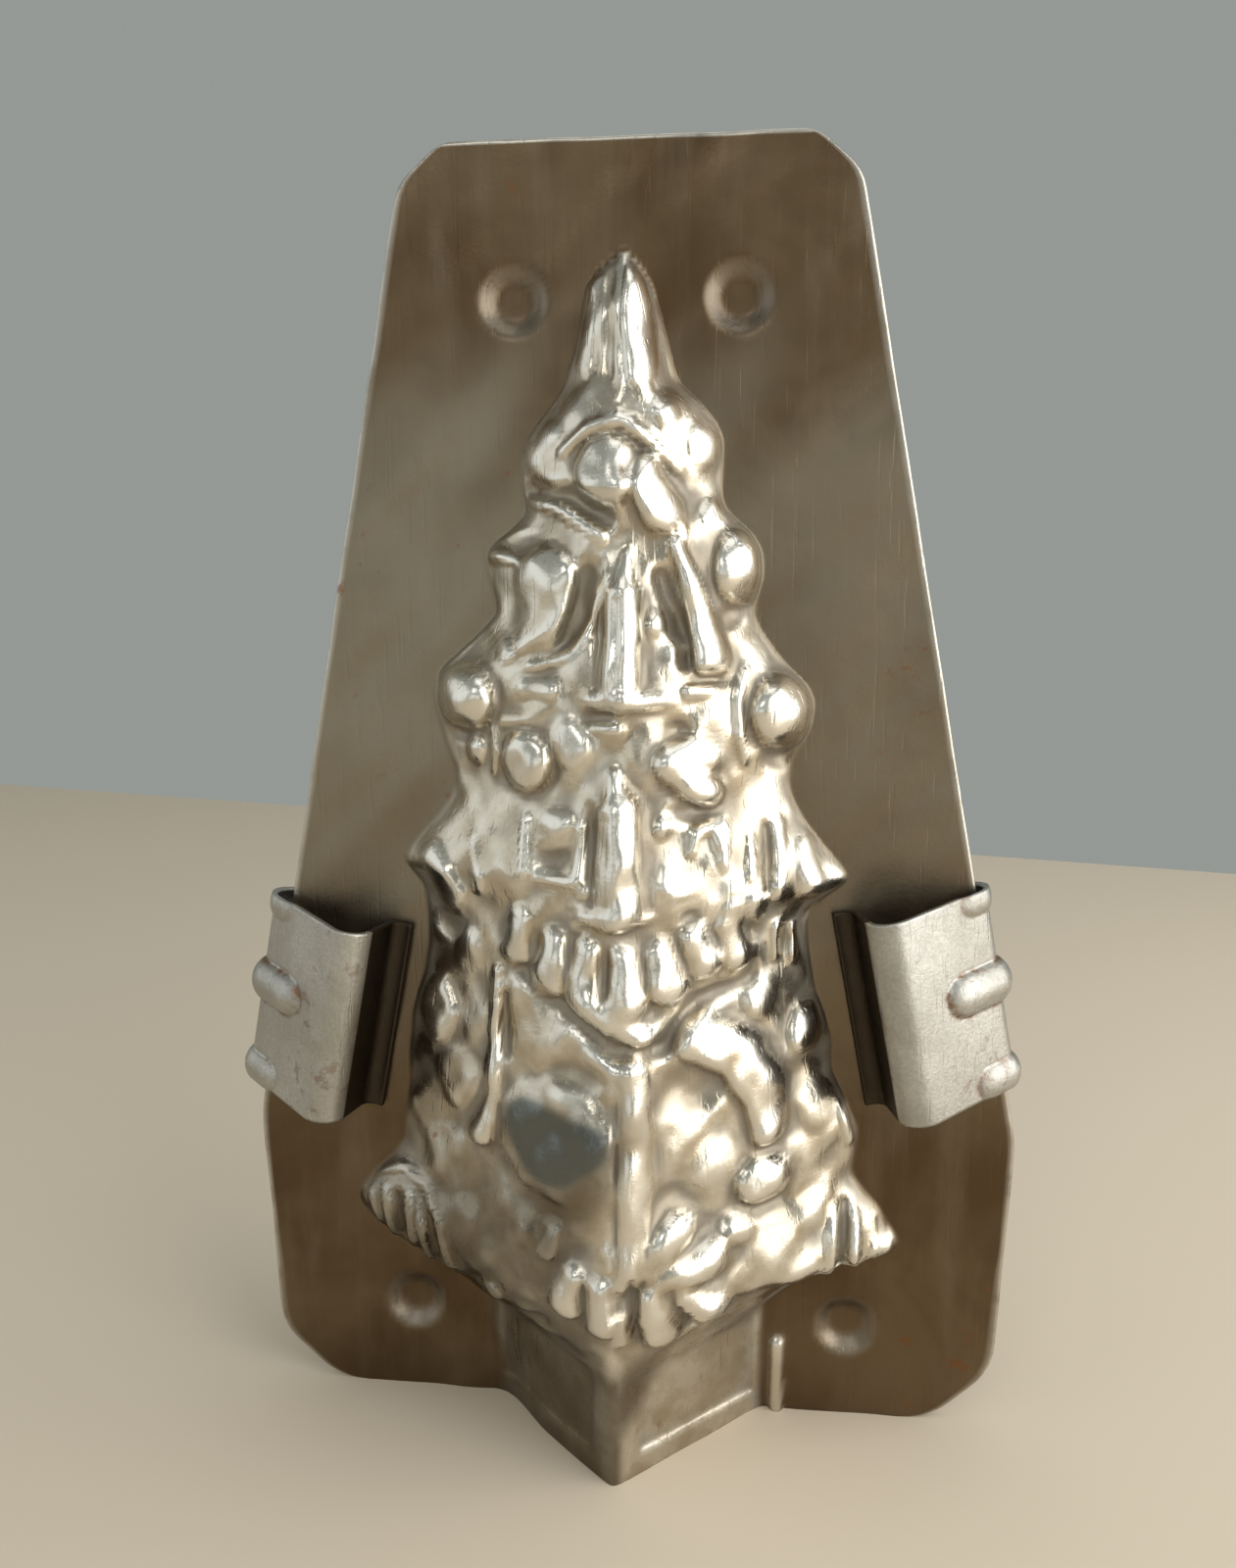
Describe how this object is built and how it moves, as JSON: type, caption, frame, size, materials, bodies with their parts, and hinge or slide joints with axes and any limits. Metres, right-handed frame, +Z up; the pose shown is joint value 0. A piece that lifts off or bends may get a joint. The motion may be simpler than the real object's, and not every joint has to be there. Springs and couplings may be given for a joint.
{
  "type": "chocolate mold",
  "caption": "Pressed tin chocolate mold for a decorated fir tree, standing on its open square foot, with spring clips that grip the side flanges.",
  "frame": {"origin": "on the surface it stands on, under the middle of the closed mold, on the plane where the halves meet", "axes": "+Z up along the tree, +X to the right as seen from the front half, front half on the -Y side"},
  "size_m": [0.0853, 0.0374, 0.135],
  "materials": {
    "aged_tin": "old tinplate, satin brown-grey patina on the flanges and polished high spots on the relief",
    "clip_steel": "dull grey spring steel with a fine grain and specks of rust"
  },
  "bodies": {
    "mold": {"front_half": "aged_tin", "back_half": "aged_tin"},
    "left_clip": {"left_clip": "clip_steel"},
    "right_clip": {"right_clip": "clip_steel"}
  },
  "joints": [
    {"name": "left_clip_slide", "type": "slide", "parent": "mold", "child": "left_clip", "axis": [-0.9818, 0, 0.19], "range_m": [0, 0.018]},
    {"name": "right_clip_slide", "type": "slide", "parent": "mold", "child": "right_clip", "axis": [0.9818, 0, 0.19], "range_m": [0, 0.018]}
  ]
}
